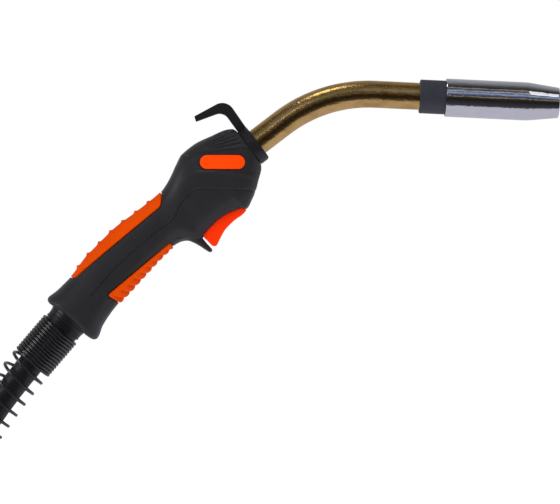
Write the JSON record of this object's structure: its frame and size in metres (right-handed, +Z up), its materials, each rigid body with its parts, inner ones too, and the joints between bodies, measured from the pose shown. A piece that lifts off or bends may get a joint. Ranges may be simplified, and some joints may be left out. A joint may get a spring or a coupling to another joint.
{
  "type": "mig welding torch",
  "caption": "Hand-held MIG welding torch with a curved neck, gas nozzle, contoured grip with trigger and hanging hook, and a swivelling cable stub with a bend spring.",
  "frame": {"origin": "wire exit of the contact tip, on the axis of the gas nozzle", "axes": "+X along the wire as it leaves the tip, +Z up with the torch held level, +Y to the left of the torch"},
  "size_m": [0.4417, 0.042, 0.3159],
  "materials": {
    "nozzle_chrome": "polished chrome plating, slightly hazed by heat near the mouth",
    "slate_insulator": "matte dark slate grey moulded insulator",
    "spring_steel": "bright drawn steel wire",
    "brass": "turned brass",
    "tip_copper": "drawn copper alloy, lightly oxidised",
    "white_insulator": "off-white heat-resistant insulator",
    "neck_brass": "lacquered brass tube, mottled brown-gold reflections",
    "copper": "soft bare copper",
    "liner_steel": "coiled steel liner",
    "sleeve_plastic": "pale insulating sleeve",
    "hook_plastic": "black moulded plastic, fine satin grain",
    "handle_plastic": "charcoal glass-filled plastic, fine spark-eroded grain",
    "grip_orange": "orange soft-touch overmoulded rubber",
    "badge_orange": "plain orange label plate with a pale edge line, no text",
    "trigger_orange": "bright red-orange semi-gloss plastic",
    "screw_steel": "zinc plated steel",
    "switch_plastic": "black switch housing",
    "wire_insulation": "thin PVC wire insulation",
    "slip_plastic": "pale low-friction plastic",
    "collar_plastic": "black satin moulded plastic",
    "spring_black": "glossy black coated spring wire",
    "cable_rubber": "black ribbed-soft cable rubber",
    "hose_plastic": "grey inner hose"
  },
  "bodies": {
    "torch": {"nozzle_insulator": "slate_insulator", "nozzle_retaining_spring": "spring_steel", "tip_holder": "brass", "gas_diffuser": "white_insulator", "contact_tip": "tip_copper", "neck_outer_tube": "neck_brass", "neck_insulation_sleeve": "sleeve_plastic", "neck_inner_conductor": "copper", "neck_base_nut": "brass", "wire_liner": "liner_steel", "handle_screws": "screw_steel", "trigger_pin": "spring_steel", "trigger_spring": "spring_steel", "switch_body": "switch_plastic", "switch_terminals": "brass", "control_wires": "wire_insulation", "cable_connector": "brass", "crimp_sleeve": "copper", "cable_core_in_handle": "copper", "handle_shell_right": "handle_plastic", "handle_shell_left": "handle_plastic", "upper_grip_pad_right": "grip_orange", "upper_grip_pad_left": "grip_orange", "lower_grip_pad_right": "grip_orange", "lower_grip_pad_left": "grip_orange", "badge_plate_right": "badge_orange", "badge_plate_left": "badge_orange"},
    "nozzle": {"gas_nozzle": "nozzle_chrome"},
    "hook": {"hanging_hook": "hook_plastic"},
    "trigger": {"trigger": "trigger_orange"},
    "plunger": {"switch_plunger": "switch_plastic"},
    "slip_ring": {"ball_slip_ring": "slip_plastic"},
    "cable": {"swivel_ball": "collar_plastic", "bend_spring": "spring_black", "cable_jacket": "cable_rubber", "cable_copper_strands": "copper", "cable_gas_hose": "hose_plastic", "cable_liner": "liner_steel"}
  },
  "joints": [
    {"name": "nozzle_pull_off", "type": "slide", "parent": "torch", "child": "nozzle", "axis": [1, 0, 0], "range_m": [0, 0.09]},
    {"name": "hook_turn", "type": "hinge", "parent": "torch", "child": "hook", "pos_m": [-0.21528, 0, -0.03697], "axis": [0.766, 0, 0.6428], "range_deg": [-90, 90]},
    {"name": "trigger_pull", "type": "hinge", "parent": "torch", "child": "trigger", "pos_m": [-0.23032, 0, -0.0883], "axis": [0, 1, 0], "range_deg": [0, 6], "deforming": ["trigger_spring"]},
    {"name": "plunger_press", "type": "slide", "parent": "torch", "child": "plunger", "axis": [-0.7314, 0, 0.682], "range_m": [0, 0.0011]},
    {"name": "cable_pitch", "type": "hinge", "parent": "torch", "child": "slip_ring", "pos_m": [-0.34787, 0, -0.17257], "axis": [0, 1, 0], "range_deg": [-8, 8]},
    {"name": "cable_yaw", "type": "hinge", "parent": "slip_ring", "child": "cable", "pos_m": [-0.34787, 0, -0.17257], "axis": [-0.7902, 0, 0.6129], "range_deg": [-8, 8]}
  ],
  "couplings": [
    {"joint": "plunger_press", "follows": "trigger_pull", "m_per_rad": 0.0102}
  ]
}
